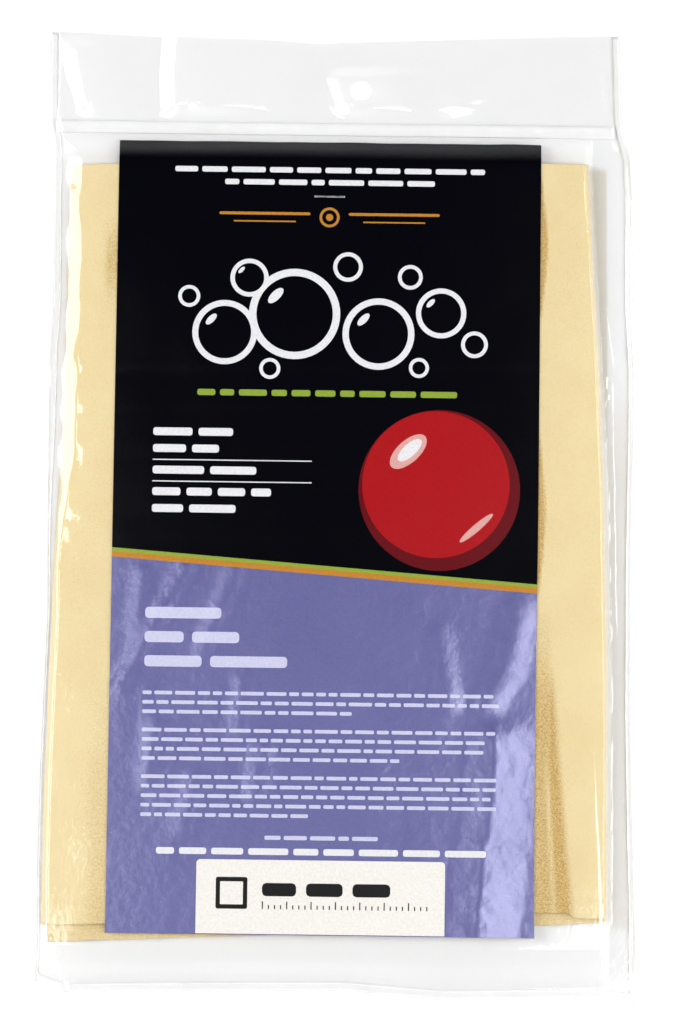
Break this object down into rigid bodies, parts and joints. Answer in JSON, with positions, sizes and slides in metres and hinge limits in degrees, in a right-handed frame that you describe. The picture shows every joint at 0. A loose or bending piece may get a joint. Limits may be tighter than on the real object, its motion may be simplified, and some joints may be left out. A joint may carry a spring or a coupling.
{
  "type": "chamois leather",
  "caption": "Folded chamois leather with a stapled display card in a clear press-to-close hang bag, whose front lip peels open so that the contents slide out.",
  "frame": {"origin": "middle of the bag's back, on the surface that the pack lies on", "axes": "+X to the right seen from the front, +Y towards the header with the hang hole, +Z out of the printed front"},
  "size_m": [0.246, 0.4, 0.0052],
  "materials": {
    "film": "clear low-density polythene film, glossy, lightly creased",
    "weld": "fused polythene, slightly milky",
    "zip": "extruded polythene, slightly milky",
    "skin": "oil-tanned suede, soft nap on both sides",
    "card": "coated paper, printed in near-black and periwinkle",
    "label": "smooth white label paper",
    "wire": "galvanised staple wire"
  },
  "bodies": {
    "bag": {"bag_back_panel": "film", "bag_front_panel": "film", "left_side_weld": "weld", "right_side_weld": "weld", "bottom_weld": "weld", "zip_groove_track": "zip"},
    "front_lip": {"front_lip": "film", "zip_rib_track": "zip"},
    "contents": {"chamois_skin": "skin", "insert_card": "card", "size_label": "label", "staple": "wire"}
  },
  "joints": [
    {"name": "contents_slide", "type": "slide", "parent": "bag", "child": "contents", "axis": [0, 1, 0], "range_m": [0, 0.38]},
    {"name": "lip_peel", "type": "hinge", "parent": "bag", "child": "front_lip", "pos_m": [0, 0.082, 0.0051], "axis": [1, 0, 0], "range_deg": [0, 126]}
  ],
  "couplings": [
    {"joint": "lip_peel", "follows": "contents_slide", "rad_per_m": 5.7596}
  ]
}
